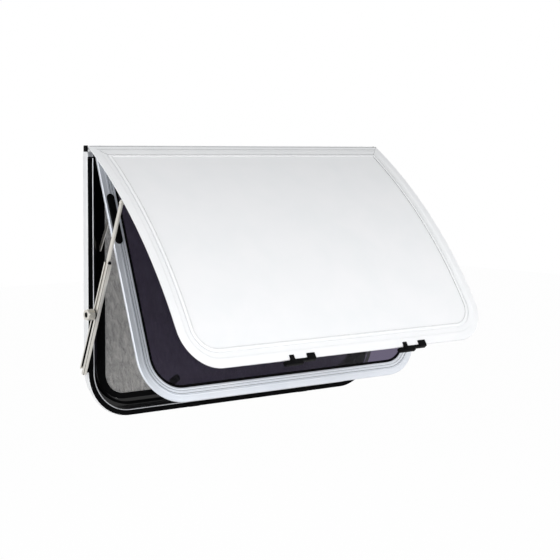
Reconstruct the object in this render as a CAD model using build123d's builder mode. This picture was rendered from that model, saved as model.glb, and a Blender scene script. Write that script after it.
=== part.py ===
"""Caravan window: a bowed outer cover and a glazed sash, both hinged at the head of one wall frame.

Millimetres. X runs along the wall, -Y points outdoors and +Z is up. The origin is on the back of the
wall flange, in the middle of the sill. The cover and the sash stand open, propped on their stays.
"""

import os
from math import asin, atan2, cos, degrees, hypot, radians, sin

from build123d import *

# Wall frame
frame_width = 848.0
frame_height = 611.5
frame_corner = 108.0
flange_width = 12.0
flange_thickness = 8.0
flange_round = 2.5
spigot_wall = 2.0
spigot_depth = 30.0
band_edge = 1.2
band_width = 11.0
band_thickness = 1.5
bead_width = 2.8
bead_height = 2.2
bead_round = 1.3
trim_stop = 14.0
liner_wall = 1.5
liner_front = 7.0
liner_floor = 14.0
liner_floor_thickness = 3.0
liner_floor_width = 20.0
seal_width = 5.5
seal_height = 7.0
seal_round = 2.5
fit = 0.2

# Fly screen behind the sash
screen_rail = 21.0
screen_sill = 12.5
screen_front = 13.0
screen_rebate = 8.0
screen_lip = 5.0
screen_rear = 6.0
mesh_thickness = 0.8

# Head rail with the two hinge sockets
head_flange = 4.0
head_plate = 5.0
head_reach = 9.5
socket_wall = 2.0
hinge_pin_radius = 4.0
hinge_clearance = 0.4
hinge_neck = 3.0
cover_neck_angle = 90.0
hinge_swing_margin = 26.0
hinge_lift_margin = 65.0
end_cap = 4.6
end_cap_reach = 11.5
end_cap_height = 14.0
end_cap_round = 2.0

# Cover
cover_overhang = 8.5
cover_edge_up = 10.7
cover_corner = 88.0
cover_taper = 5.5
cover_bow = 39.0
cover_open = 41.4
cover_hinge_out = 19.0
cover_hinge_below_top = 16.5
cover_top_out = 9.8
cover_top_rise = 12.0
cover_bottom_out = 4.8
cover_rim = 6.0
cover_lip = 3.0
cover_lip_width = 14.0
cover_rail = 40.0
cover_grooves = (18.0, 30.0)
cover_groove_width = 1.4
cover_groove_depth = 1.5
panel_step = 0.8
panel_thickness = 3.0
ledge_outer = 28.0
ledge_inner = 52.0
ledge_depth = 8.0

# Sash
sash_gap = 5.0
sash_corner_ease = 16.0
sash_open = 20.6
sash_hinge_out = 8.0
sash_hinge_below_top = 14.0
sash_top_drop = 13.0
sash_front = 1.3
sash_lip = 5.5
sash_rail = 31.0
sash_box_from = 8.0
sash_box_to = 17.0
sash_box_depth = 8.0
sash_grooves = (16.0, 23.5)
sash_groove_width = 1.2
sash_groove_depth = 1.5
sash_chamfer = 1.0
sash_inner_chamfer = 1.5
glass_rebate = 5.0
glass_thickness = 4.0
glass_set_back = 2.2
gasket_width = 6.0
gasket_proud = 1.2
plate_length = 115.0
plate_width = 17.0
plate_thickness = 4.0
plate_round = 1.3
plate_drop = 100.0
plate_inset = 5.0

# Latches and catches
latch_spacing = 328.0
latch_shift = 25.0
latch_length = 68.0
latch_bar = 8.0
latch_bar_height = 6.0
latch_wrap = 3.0
latch_prong_height = 8.5
latch_narrow_prong = 11.0
latch_wide_prong = 21.0
latch_foot_length = 48.0
latch_foot_shift = 27.0
latch_foot_height = 9.0
catch_length = 30.0
catch_height = 8.0
catch_thickness = 2.7
catch_round = 2.0
sash_latch_inset = 88.0
sash_latch_length = 28.0
sash_latch_width = 15.0
sash_latch_depth = 9.0
sash_lever_length = 20.0
sash_lever_width = 9.0

# Telescopic stay of the cover
stay_drop = 167.0
stay_below_skin = 11.0
stay_beside = 2.6
stay_foot_out = 12.0
stay_foot_up = 115.0
stay_foot_beside = 16.5
channel_width = 18.0
channel_thickness = 9.0
channel_wall = 1.5
channel_offset = 1.9
channel_slot = 7.6
channel_length = 266.0
channel_tail = 6.0
channel_cut = 8.0
rod_width = 9.0
rod_thickness = 4.0
rod_reach = 263.0
rod_nose = 2.0
rod_tail = 9.0
stay_pin_radius = 3.0
pin_clearance = 0.3
pin_head = 1.0
lug_thickness = 2.2
knob_radius = 12.0
knob_length = 17.0
knob_round = 2.0
knob_socket_across = 10.0
knob_socket_depth = 7.0
stud_radius = 3.0
washer_radius = 11.0
washer_thickness = 2.5
washer_clearance = 0.4
stop_length = 5.0
stop_clearance = 0.5
guide_thickness = 0.6
foot_plate = 8.5
foot_radius = 6.0
foot_off_wall = 1.0

# Bar stay of the sash
bar_width = 8.0
bar_thickness = 2.0
bar_drop = 132.0
bar_behind = 7.3
bar_length = 105.0
bar_end_behind = 8.0
bar_pin_radius = 2.5
bar_lug_thickness = 2.0
track_length = 70.0
track_width = 3.8
track_thickness = 2.0
track_round = 1.8
track_drop = 11.5

# Places worked out from the sizes above
sill = -flange_width / 2
head = sill + frame_height
head_flange_foot = head - flange_width - spigot_wall
liner_from = flange_width + spigot_wall + fit
liner_to = liner_from + liner_wall + liner_floor_width
screen_from = liner_to + fit
sash_inset = liner_from + liner_wall + sash_gap
sash_width = frame_width - 2 * sash_inset
sash_corner = frame_corner + sash_corner_ease - sash_inset
sash_hinge_z = head - sash_hinge_below_top
sash_length = sash_hinge_z - sill - sash_inset
cover_hinge_z = head - cover_hinge_below_top
cover_width = frame_width + 2 * cover_overhang
cover_length = cover_hinge_z + cover_top_rise - sill - cover_edge_up
socket_bore = hinge_pin_radius + hinge_clearance
socket_radius = socket_bore + socket_wall
stay_x = -frame_width / 2 - stay_beside

face = Plane(origin=(0, 0, 0), x_dir=(1, 0, 0), z_dir=(0, -1, 0))


def hinged_plane(out, up, angle):
    """Return the plane of a leaf that hangs from a hinge and is swung open by an angle."""
    swing = radians(angle)
    return Plane(origin=(0, -out, up), x_dir=(1, 0, 0), z_dir=(0, -cos(swing), sin(swing)))


def side_plane(plane, x=0.0):
    """Return the plane across a leaf: x runs out of its face and y runs up it."""
    return Plane(origin=plane.from_local_coords((x, 0, 0)), x_dir=plane.z_dir, z_dir=(-1, 0, 0))


cover_plane = hinged_plane(cover_hinge_out, cover_hinge_z, cover_open)
sash_plane = hinged_plane(sash_hinge_out, sash_hinge_z, sash_open)
wall_side = side_plane(face)
cover_side = side_plane(cover_plane)
sash_side = side_plane(sash_plane)


def u_path(plane, width, bottom, top, radius):
    """Return the line down the left side, round the lower corners and up the right side."""
    with BuildLine(plane, mode=Mode.PRIVATE) as path:
        corners = [(-width / 2, top), (-width / 2, bottom), (width / 2, bottom), (width / 2, top)]
        FilletPolyline(*corners, radius=radius)
    return path.line


def leg_section(plane, width, top):
    """Return the plane across the left leg of a u_path: x runs inward and y runs out of the face."""
    start = plane.from_local_coords((-width / 2, top, 0))
    return Plane(origin=start, x_dir=plane.x_dir, z_dir=-plane.y_dir)


def arched(width, bottom, top, radius, taper=0.0):
    """Return a face with a straight top, rounded lower corners and sides that may close in to the top."""
    with BuildSketch(mode=Mode.PRIVATE) as outline:
        with BuildLine():
            Polyline(
                (-width / 2, bottom),
                (width / 2, bottom),
                (width / 2 - taper, top),
                (-width / 2 + taper, top),
                close=True,
            )
        make_face()
        fillet(outline.vertices().group_by(Axis.Y)[0], radius)
    return outline.sketch


frame_path = u_path(face, frame_width, sill, head_flange_foot, frame_corner)
frame_section = leg_section(face, frame_width, head_flange_foot)
seal_path = u_path(face, frame_width, sill, head_flange_foot, sash_corner + sash_inset)
trim_top = head_flange_foot - trim_stop
trim_path = u_path(face, frame_width, sill, trim_top, frame_corner)
trim_section = leg_section(face, frame_width, trim_top)
sash_top = -sash_top_drop - sash_rail
sash_path = u_path(sash_plane, sash_width, -sash_length, -sash_top_drop, sash_corner)
sash_section = leg_section(sash_plane, sash_width, -sash_top_drop)


# Wall frame: flange with its spigot through the wall
with BuildPart() as outer_frame:
    with BuildSketch(frame_section):
        with BuildLine():
            Polyline(
                (0, 0),
                (0, flange_thickness),
                (flange_width + spigot_wall, flange_thickness),
                (flange_width + spigot_wall, -spigot_depth),
                (flange_width, -spigot_depth),
                (flange_width, 0),
                close=True,
            )
        make_face()
        fillet(vertices().sort_by(Axis.X)[:2].sort_by(Axis.Y)[-1], flange_round)
    sweep(path=frame_path)
outer_frame.part.label = "outer_frame"

with BuildPart() as cover_seal:
    with BuildSketch(trim_section):
        with Locations((band_edge + band_width / 2, flange_thickness + band_thickness / 2)):
            Rectangle(band_width, band_thickness)
        fillet(vertices().group_by(Axis.Y)[-1], band_thickness / 2)
    sweep(path=trim_path)
cover_seal.part.label = "cover_seal"

with BuildPart() as bead_trim:
    bead_at = band_edge + band_width + fit
    with BuildSketch(trim_section):
        with Locations((bead_at + bead_width / 2, flange_thickness + bead_height / 2)):
            Rectangle(bead_width, bead_height)
        fillet(vertices().group_by(Axis.Y)[-1], bead_round)
    sweep(path=trim_path)
bead_trim.part.label = "bead_trim"

with BuildPart() as inner_liner:
    with BuildSketch(frame_section):
        with BuildLine():
            floor_rear = -liner_floor - liner_floor_thickness
            Polyline(
                (liner_from, liner_front),
                (liner_from + liner_wall, liner_front),
                (liner_from + liner_wall, -liner_floor),
                (liner_to, -liner_floor),
                (liner_to, floor_rear),
                (liner_from, floor_rear),
                close=True,
            )
        make_face()
    sweep(path=frame_path)
    with BuildSketch(face.offset(-liner_floor - liner_floor_thickness)):
        with Locations((0, head_flange_foot)):
            head_bar = (frame_width - 2 * liner_from, liner_wall + liner_floor_width)
            Rectangle(*head_bar, align=(Align.CENTER, Align.MAX))
    extrude(amount=liner_floor_thickness)
inner_liner.part.label = "inner_liner"

with BuildPart() as sash_seal:
    seal_at = sash_inset + sash_box_from / 2
    with BuildSketch(frame_section):
        with Locations((seal_at, -liner_floor + seal_height / 2)):
            Rectangle(seal_width, seal_height)
        fillet(vertices().group_by(Axis.Y)[-1], seal_round)
    sweep(path=seal_path)
sash_seal.part.label = "sash_seal"

# Fly screen: a black ring with a lip in front of the mesh
screen_head = head_flange_foot - liner_floor_width - liner_wall - fit


def inset_outline(inset, rail, sill_rail):
    """Return the screen's outline less a rail at its sides and head, and another at its sill."""
    side = inset + rail
    bottom = sill + inset + sill_rail
    return arched(frame_width - 2 * side, bottom, screen_head - rail, frame_corner - side)


with BuildPart() as screen_frame:
    with BuildSketch(face.offset(-screen_front - screen_lip)):
        add(inset_outline(screen_from, 0, 0))
        add(inset_outline(screen_from, screen_rail, screen_sill), mode=Mode.SUBTRACT)
    extrude(amount=screen_lip)
    with BuildSketch(face.offset(-screen_front - screen_lip - screen_rear)):
        add(inset_outline(screen_from, 0, 0))
        add(inset_outline(screen_from, screen_rebate, screen_rebate), mode=Mode.SUBTRACT)
    extrude(amount=screen_rear)
screen_frame.part.label = "screen_frame"

with BuildPart() as fly_screen:
    with BuildSketch(face.offset(-screen_front - screen_lip - fit - mesh_thickness)):
        add(inset_outline(screen_from, screen_rebate + fit, screen_rebate + fit))
    extrude(amount=mesh_thickness)
fly_screen.part.label = "fly_screen"

# Head rail: flange, top plate and one open socket for each hinge


def swing_wedge(out, up, first, last):
    """Return a wedge that frees a hinge neck between two angles from straight down, outdoors positive."""
    reach = 3 * socket_radius
    with BuildSketch(mode=Mode.PRIVATE) as wedge:
        with BuildLine():
            first_way = (out + reach * sin(radians(first)), up - reach * cos(radians(first)))
            middle = radians(first + last) / 2
            middle_way = (out + reach * sin(middle), up - reach * cos(middle))
            last_way = (out + reach * sin(radians(last)), up - reach * cos(radians(last)))
            Polyline((out, up), first_way, middle_way, last_way, close=True)
        make_face()
    return wedge.sketch


sash_neck_angle = degrees(atan2(sash_front - sash_lip / 2, sash_top_drop))
with BuildPart() as head_rail:
    with BuildSketch(wall_side):
        with Locations((head_flange / 2, (head + head_flange_foot) / 2)):
            Rectangle(head_flange, head - head_flange_foot)
        with Locations((head_reach / 2, head - head_plate / 2)):
            Rectangle(head_reach, head_plate)
        with Locations((-spigot_depth / 2, head_flange_foot + spigot_wall / 2)):
            Rectangle(spigot_depth, spigot_wall)
        with Locations((sash_hinge_out, sash_hinge_z), (cover_hinge_out, cover_hinge_z)):
            Circle(socket_radius)
        with Locations((sash_hinge_out, sash_hinge_z), (cover_hinge_out, cover_hinge_z)):
            Circle(socket_bore, mode=Mode.SUBTRACT)
        sash_from = sash_neck_angle - hinge_swing_margin
        sash_to = sash_neck_angle + sash_open + hinge_swing_margin
        add(swing_wedge(sash_hinge_out, sash_hinge_z, sash_from, sash_to), mode=Mode.SUBTRACT)
        cover_from = cover_neck_angle - hinge_swing_margin
        cover_to = cover_neck_angle + cover_open + hinge_lift_margin
        add(swing_wedge(cover_hinge_out, cover_hinge_z, cover_from, cover_to), mode=Mode.SUBTRACT)
    extrude(amount=frame_width / 2, both=True)
    notch = liner_from + liner_wall + fit
    with BuildSketch(face):
        for side in (-1, 1):
            with Locations((side * (frame_width - notch) / 2, head_flange_foot)):
                Rectangle(notch, 2 * socket_radius, align=(Align.CENTER, Align.MAX))
    extrude(amount=cover_hinge_out + 2 * socket_radius, mode=Mode.SUBTRACT)
    with BuildSketch(face):
        for side in (-1, 1):
            with Locations((side * (frame_width - flange_width) / 2, head_flange_foot)):
                Rectangle(flange_width, 3 * spigot_wall)
    extrude(amount=-2 * spigot_depth, mode=Mode.SUBTRACT)
head_rail.part.label = "head_rail"

# Cover: everything is cut from one bowed sheet, so rails, panel and ledge share the same centre
chord_top = (cover_top_out, cover_top_rise)
chord_bottom = (cover_bottom_out, cover_top_rise - cover_length)
chord = hypot(chord_top[0] - chord_bottom[0], chord_top[1] - chord_bottom[1])
bow_radius = (chord**2 / 4 + cover_bow**2) / (2 * cover_bow)
chord_lean = atan2(chord_top[0] - chord_bottom[0], chord_top[1] - chord_bottom[1])
bow_centre = (
    (chord_top[0] + chord_bottom[0]) / 2 - (bow_radius - cover_bow) * cos(chord_lean),
    (chord_top[1] + chord_bottom[1]) / 2 + (bow_radius - cover_bow) * sin(chord_lean),
)
cover_bottom = chord_bottom[1]
cover_top = chord_top[1]
bow_plane = Plane(
    origin=cover_side.from_local_coords((*bow_centre, 0)), x_dir=cover_side.x_dir, z_dir=(-1, 0, 0)
)
cover_reach = 2 * cover_bow


def cover_outline(inset, top_inset):
    """Return the cover's outline moved inward, as seen square on."""
    width = cover_width - 2 * inset
    return arched(width, cover_bottom + inset, cover_top - top_inset, cover_corner - inset, cover_taper)


def bowed(outer, inner, outer_inset, inner_inset):
    """Return a bowed ring between two depths under the skin and two insets, or a sheet with no hole."""
    with BuildPart(mode=Mode.PRIVATE) as sheet:
        with BuildSketch(bow_plane):
            Circle(bow_radius - outer)
            Circle(bow_radius - inner, mode=Mode.SUBTRACT)
        extrude(amount=cover_width, both=True)
        with BuildSketch(cover_plane):
            add(cover_outline(outer_inset, outer_inset))
            if inner_inset:
                add(cover_outline(inner_inset, inner_inset), mode=Mode.SUBTRACT)
        extrude(amount=cover_reach, both=True, mode=Mode.INTERSECT)
    return sheet.part


lip_ring = bowed(0, cover_lip, 0, cover_rail)
rim_ring = bowed(0, cover_rim, cover_lip_width, cover_rail)
groove_rings = [bowed(-1, cover_groove_depth, at, at + cover_groove_width) for at in cover_grooves]
ledge_ring = bowed(panel_step + panel_thickness + fit, ledge_depth, ledge_outer, ledge_inner)

mitre_at = cover_width / 2 - cover_taper
with BuildPart(mode=Mode.PRIVATE) as head_mitre:
    with BuildSketch(cover_plane):
        with BuildLine():
            Polyline(
                (-mitre_at, cover_top),
                (mitre_at, cover_top),
                (mitre_at - ledge_inner, cover_top - ledge_inner),
                (-mitre_at + ledge_inner, cover_top - ledge_inner),
                close=True,
            )
        make_face()
    extrude(amount=cover_reach, both=True)

with BuildPart() as cover_frame:
    add(lip_ring)
    add(rim_ring)
    add(ledge_ring)
    add(groove_rings, mode=Mode.SUBTRACT)
    add(head_mitre.part, mode=Mode.SUBTRACT)
cover_frame.part.label = "cover_frame"

with BuildPart() as cover_head_rail:
    add(lip_ring)
    add(rim_ring)
    add(ledge_ring)
    add(groove_rings, mode=Mode.SUBTRACT)
    add(head_mitre.part, mode=Mode.INTERSECT)
    with BuildSketch(cover_side):
        Circle(hinge_pin_radius)
        with BuildLine():
            neck_end = bow_centre[0] + (bow_radius**2 - bow_centre[1] ** 2) ** 0.5 - cover_lip / 2
            Polyline(
                (0, -hinge_neck / 2),
                (neck_end, -hinge_neck / 2),
                (neck_end, hinge_neck / 2),
                (0, hinge_neck / 2),
                close=True,
            )
        make_face()
    extrude(amount=frame_width / 2 - notch - hinge_neck, both=True)
cover_head_rail.part.label = "cover_head_rail"

with BuildPart() as cover_panel:
    add(bowed(panel_step, panel_step + panel_thickness, cover_rail + fit, 0))
cover_panel.part.label = "cover_panel"

# Sash: one rail section swept round, mitred to a head rail that hangs in its own socket
sash_rear = sash_front - sash_lip
glass_front = sash_front - glass_set_back
glass_rear = glass_front - glass_thickness


def groove_points(at):
    """Return the corners of one groove in the face of the sash's rail."""
    floor = sash_front - sash_groove_depth
    end = at + sash_groove_width
    return [(at, sash_front), (at, floor), (end, floor), (end, sash_front)]


rail_points = [
    (0, sash_rear),
    (0, sash_front - sash_chamfer),
    (sash_chamfer, sash_front),
    *groove_points(sash_grooves[0]),
    *groove_points(sash_grooves[1]),
    (sash_rail - sash_inner_chamfer, sash_front),
    (sash_rail, sash_front - sash_chamfer),
    (sash_rail, glass_front + fit),
    (sash_rail - glass_rebate, glass_front + fit),
    (sash_rail - glass_rebate, glass_rear - fit),
    (sash_box_to, glass_rear - fit),
    (sash_box_to, sash_rear - sash_box_depth),
    (sash_box_from, sash_rear - sash_box_depth),
    (sash_box_from, sash_rear),
]

with BuildPart() as sash_frame:
    with BuildSketch(sash_section):
        with BuildLine():
            Polyline(*rail_points, close=True)
        make_face()
    sweep(path=sash_path)
    with BuildSketch(sash_plane):
        with BuildLine():
            Polyline(
                (-sash_width / 2 - 1, -sash_top_drop + 1),
                (sash_width / 2 + 1, -sash_top_drop + 1),
                (sash_width / 2 - sash_rail, sash_top),
                (-sash_width / 2 + sash_rail, sash_top),
                close=True,
            )
        make_face()
    extrude(amount=2 * sash_lip + sash_box_depth, both=True, mode=Mode.SUBTRACT)
sash_frame.part.label = "sash_frame"

with BuildPart() as sash_head_rail:
    with BuildSketch(sash_side):
        with BuildLine():
            Polyline(*[(out, -sash_top_drop - inward) for inward, out in rail_points], close=True)
        make_face()
    extrude(amount=sash_width / 2, both=True)
    with BuildSketch(sash_plane):
        with BuildLine():
            Polyline(
                (-sash_width / 2, -sash_top_drop),
                (sash_width / 2, -sash_top_drop),
                (sash_width / 2 - sash_rail, sash_top),
                (-sash_width / 2 + sash_rail, sash_top),
                close=True,
            )
        make_face()
    extrude(amount=2 * sash_lip + sash_box_depth, both=True, mode=Mode.INTERSECT)
    with BuildSketch(sash_side):
        Circle(hinge_pin_radius)
        with BuildLine():
            plate_middle = sash_front - sash_lip / 2
            Polyline(
                (-hinge_neck / 2, 0),
                (hinge_neck / 2, 0),
                (plate_middle + hinge_neck / 2, -sash_top_drop - hinge_neck / 2),
                (plate_middle - hinge_neck / 2, -sash_top_drop - hinge_neck / 2),
                close=True,
            )
        make_face()
    extrude(amount=sash_width / 2 - hinge_neck, both=True)
sash_head_rail.part.label = "sash_head_rail"


def sash_outline(inset):
    """Return the sash's outline moved inward, as seen square on."""
    width = sash_width - 2 * inset
    return arched(width, -sash_length + inset, -sash_top_drop - inset, sash_corner - inset)


with BuildPart() as glass_pane:
    with BuildSketch(sash_plane.offset(glass_rear)):
        add(sash_outline(sash_rail - glass_rebate + fit))
    extrude(amount=glass_thickness)
glass_pane.part.label = "glass_pane"

with BuildPart() as glass_gasket:
    with BuildSketch(sash_plane.offset(glass_front + fit)):
        add(sash_outline(sash_rail + fit))
        add(sash_outline(sash_rail + gasket_width), mode=Mode.SUBTRACT)
    extrude(amount=gasket_proud)
glass_gasket.part.label = "glass_gasket"

fixed_pieces = [
    outer_frame, cover_seal, bead_trim, inner_liner, sash_seal, screen_frame, fly_screen, head_rail,
    cover_frame, cover_head_rail, cover_panel, sash_frame, sash_head_rail, glass_pane, glass_gasket,
]

# Stay of the cover: its rod hangs from the cover, and its channel slides on the rod
pivot_angle = asin((-stay_drop - bow_centre[1]) / bow_radius)
pivot_out = bow_centre[0] + (bow_radius - stay_below_skin) * cos(pivot_angle)
pivot_up = bow_centre[1] + (bow_radius - stay_below_skin) * sin(pivot_angle)
pivot = cover_side.from_local_coords((pivot_out, pivot_up, -stay_x))
foot = Vector(-frame_width / 2 - stay_foot_beside, -stay_foot_out, sill + stay_foot_up)
stay_way = (foot - pivot).normalized()
stay_span = (foot - pivot).length
outboard = Vector(-1, 0, 0)
stay_face = (outboard - stay_way * stay_way.dot(outboard)).normalized()
stay_plane = Plane(origin=pivot, x_dir=stay_way, z_dir=stay_face)


def across_stay(distance):
    """Return the plane across the stay at a distance from its pivot, with y pointing outboard."""
    origin = stay_plane.from_local_coords((distance, 0, 0))
    return Plane(origin=origin, x_dir=stay_plane.y_dir, z_dir=stay_way)


channel_foot = stay_span + channel_tail
channel_mouth = channel_foot - channel_length

with BuildPart() as left_stay_channel:
    with BuildSketch(across_stay(channel_mouth)):
        with Locations((channel_offset, 0)):
            Rectangle(channel_width, channel_thickness)
            inside = (channel_width - 2 * channel_wall, channel_thickness - 2 * channel_wall)
            Rectangle(*inside, mode=Mode.SUBTRACT)
        with Locations((0, channel_thickness / 2)):
            Rectangle(channel_slot, 3 * channel_wall, mode=Mode.SUBTRACT)
    extrude(amount=channel_length)
    with BuildSketch(across_stay(channel_foot - channel_cut)):
        with Locations((-channel_slot / 2, 0)):
            Rectangle(channel_width, 2 * channel_thickness, align=(Align.MAX, Align.CENTER))
    extrude(amount=2 * channel_cut, mode=Mode.SUBTRACT)
left_stay_channel.part.label = "left_stay_channel"

with BuildPart() as left_stay_stop:
    guide_back = channel_wall + fit - channel_thickness / 2
    guide_rear = channel_offset - channel_width / 2 + channel_wall + fit
    guide_edge = channel_offset + channel_width / 2 - channel_wall - fit
    guide_inner = rod_width / 2 + stop_clearance
    with BuildSketch(across_stay(channel_mouth - stop_length)):
        with BuildLine():
            Polyline(
                (guide_rear, guide_back),
                (guide_edge, guide_back),
                (guide_edge, -guide_back),
                (guide_inner, -guide_back),
                (guide_inner, guide_back + guide_thickness),
                (guide_rear + guide_thickness, guide_back + guide_thickness),
                (guide_rear + guide_thickness, -guide_back),
                (guide_rear, -guide_back),
                close=True,
            )
        make_face()
    extrude(amount=channel_length - channel_cut)
left_stay_stop.part.label = "left_stay_stop"

with BuildPart() as left_stay_rod:
    with BuildSketch(stay_plane.offset(-rod_thickness / 2)):
        with Locations(((rod_reach + rod_tail - rod_nose) / 2, 0)):
            SlotCenterToCenter(rod_reach + rod_tail + rod_nose, rod_width)
        Circle(stay_pin_radius + pin_clearance, mode=Mode.SUBTRACT)
    extrude(amount=rod_thickness)
left_stay_rod.part.label = "left_stay_rod"

knob_base = channel_thickness / 2 + washer_clearance
with BuildPart() as left_stay_washer:
    with BuildSketch(stay_plane.offset(rod_thickness / 2)):
        with Locations((rod_reach, 0)):
            Circle(stud_radius)
    extrude(amount=knob_base - rod_thickness / 2)
    with BuildSketch(stay_plane.offset(knob_base)):
        with Locations((rod_reach, 0)):
            Circle(washer_radius)
    extrude(amount=washer_thickness)
left_stay_washer.part.label = "left_stay_washer"

with BuildPart() as left_stay_knob:
    with BuildSketch(stay_plane.offset(knob_base + washer_thickness)):
        with Locations((rod_reach, 0)):
            Circle(knob_radius)
    extrude(amount=knob_length)
    fillet(edges().filter_by(GeomType.CIRCLE).group_by(Axis.X)[0], knob_round)
    with BuildSketch(stay_plane.offset(knob_base + washer_thickness + knob_length)):
        with Locations((rod_reach, 0)):
            RegularPolygon(knob_socket_across / 2, 6, major_radius=False)
    extrude(amount=-knob_socket_depth, mode=Mode.SUBTRACT)
left_stay_knob.part.label = "left_stay_knob"

lug_x = stay_x + rod_thickness / 2 + pin_clearance
with BuildPart() as left_stay_lug:
    with BuildSketch(side_plane(cover_plane, lug_x + lug_thickness)):
        with Locations((pivot_out, pivot_up)):
            Circle(rod_width / 2)
        with Locations((pivot_out + stay_below_skin / 2, pivot_up)):
            Rectangle(stay_below_skin, rod_width)
    extrude(amount=lug_thickness)
    with BuildSketch(side_plane(cover_plane, lug_x)):
        with Locations((pivot_out, pivot_up)):
            Circle(stay_pin_radius)
    extrude(amount=rod_thickness + 2 * pin_clearance + pin_head)
    with BuildSketch(bow_plane):
        Circle(bow_radius - cover_lip)
    extrude(amount=cover_width, both=True, mode=Mode.INTERSECT)
left_stay_lug.part.label = "left_stay_lug"

with BuildPart() as left_stay_foot:
    with BuildSketch(side_plane(face, -frame_width / 2)):
        with Locations((stay_foot_out, foot.Z)):
            Circle(foot_radius)
        with Locations(((stay_foot_out + foot_off_wall) / 2, foot.Z)):
            Rectangle(stay_foot_out - foot_off_wall, 2 * foot_radius)
    extrude(amount=foot_plate)
left_stay_foot.part.label = "left_stay_foot"

# Bar stay of the sash, its lug on the rail's box, and the track that guides its lower end
lug_at = -sash_width / 2 + sash_box_to + fit
bar_at = lug_at + bar_lug_thickness + pin_clearance
bar_pivot_out = sash_rear - bar_behind
bar_pivot = sash_plane.from_local_coords((0, -bar_drop, bar_pivot_out))
bar_lean = asin((bar_end_behind - bar_pivot.Y) / bar_length)
bar_plane = Plane(
    origin=(bar_at, bar_pivot.Y, bar_pivot.Z), x_dir=(0, sin(bar_lean), -cos(bar_lean)), z_dir=(1, 0, 0)
)
with BuildPart() as left_sash_stay:
    with BuildSketch(bar_plane):
        with Locations((bar_length / 2, 0)):
            SlotCenterToCenter(bar_length, bar_width)
        Circle(bar_pin_radius + pin_clearance, mode=Mode.SUBTRACT)
    extrude(amount=bar_thickness)
left_sash_stay.part.label = "left_sash_stay"

with BuildPart() as left_sash_lug:
    lug_front = glass_rear - fit
    with BuildSketch(side_plane(sash_plane, lug_at + bar_lug_thickness)):
        with Locations((bar_pivot_out, -bar_drop)):
            Circle(bar_width / 2)
        with Locations(((bar_pivot_out + lug_front) / 2, -bar_drop)):
            Rectangle(lug_front - bar_pivot_out, bar_width)
    extrude(amount=bar_lug_thickness)
    with BuildSketch(side_plane(sash_plane, bar_at + bar_thickness + pin_clearance)):
        with Locations((bar_pivot_out, -bar_drop)):
            Circle(bar_pin_radius)
    extrude(amount=bar_thickness + 2 * pin_clearance)
left_sash_lug.part.label = "left_sash_lug"

bar_end = bar_plane.from_local_coords((bar_length, 0, 0))
with BuildPart() as left_sash_track:
    with BuildSketch(side_plane(face, lug_at + bar_lug_thickness)):
        with Locations((-screen_front + track_width / 2, bar_end.Z - track_drop)):
            RectangleRounded(track_width, track_length, track_round)
    extrude(amount=track_thickness)
left_sash_track.part.label = "left_sash_track"

# Black oval plate on each stile of the sash, and the inside latch, left of the middle
with BuildPart() as left_stile_plate:
    with BuildSketch(sash_plane.offset(sash_front)):
        plate_middle_x = -sash_width / 2 + plate_inset + plate_width / 2
        with Locations((plate_middle_x, -plate_drop - plate_length / 2)):
            SlotOverall(plate_length, plate_width, rotation=90)
    extrude(amount=plate_thickness)
    fillet(faces().sort_by(Axis((0, 0, 0), sash_plane.z_dir))[-1].edges(), plate_round)
left_stile_plate.part.label = "left_stile_plate"

with BuildPart() as sash_latch:
    latch_up = -sash_length + sash_rail + gasket_width + sash_latch_width
    with BuildSketch(sash_plane.offset(glass_rear)):
        with Locations((-sash_width / 2 + sash_latch_inset, latch_up)):
            SlotOverall(sash_latch_length, sash_latch_width)
    extrude(amount=-sash_latch_depth / 2)
    with BuildSketch(sash_plane.offset(glass_rear - sash_latch_depth / 2)):
        with Locations((-sash_width / 2 + sash_latch_inset, latch_up)):
            SlotOverall(sash_lever_length, sash_lever_width)
    extrude(amount=-sash_latch_depth / 2)
sash_latch.part.label = "sash_latch"
fixed_pieces.append(sash_latch)

left_pieces = [
    left_stay_channel, left_stay_stop, left_stay_rod, left_stay_washer, left_stay_knob, left_stay_lug,
    left_stay_foot, left_sash_stay, left_sash_lug, left_sash_track, left_stile_plate,
]

# Cover latches, both of one hand, and the catches on the sill


def latch_at(x, label):
    """Return a cover latch: a bar under the cover's edge with two prongs turned up over its skin."""
    skin = bow_centre[0] + (bow_radius**2 - (cover_bottom - bow_centre[1]) ** 2) ** 0.5
    with BuildPart(mode=Mode.PRIVATE) as latch:
        with BuildSketch(side_plane(cover_plane, x)):
            with Locations((skin + latch_wrap / 2, cover_bottom - fit)):
                Rectangle(latch_bar, latch_bar_height, align=(Align.MAX, Align.MAX))
        extrude(amount=latch_length / 2, both=True)
        with BuildSketch(side_plane(cover_plane, x - latch_foot_shift)):
            with Locations((skin + latch_wrap / 2, cover_bottom - fit - latch_bar_height / 2)):
                Rectangle(latch_bar, latch_foot_height, align=(Align.MAX, Align.MAX))
        extrude(amount=latch_foot_length / 2, both=True)
        for middle, width in (
            (x - latch_length / 2 + latch_narrow_prong / 2, latch_narrow_prong),
            (x + latch_length / 2 - latch_wide_prong / 2, latch_wide_prong),
        ):
            with BuildSketch(side_plane(cover_plane, middle)):
                with BuildLine():
                    rise = cover_bottom + latch_prong_height
                    lean = bow_centre[0] + (bow_radius**2 - (rise - bow_centre[1]) ** 2) ** 0.5
                    Polyline(
                        (skin + fit, cover_bottom - fit - latch_bar_height),
                        (skin + fit + latch_wrap, cover_bottom - fit - latch_bar_height),
                        (lean + fit + latch_wrap, rise),
                        (lean + fit, rise),
                        close=True,
                    )
                make_face()
            extrude(amount=width / 2, both=True)
    latch.part.label = label
    return latch


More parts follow.
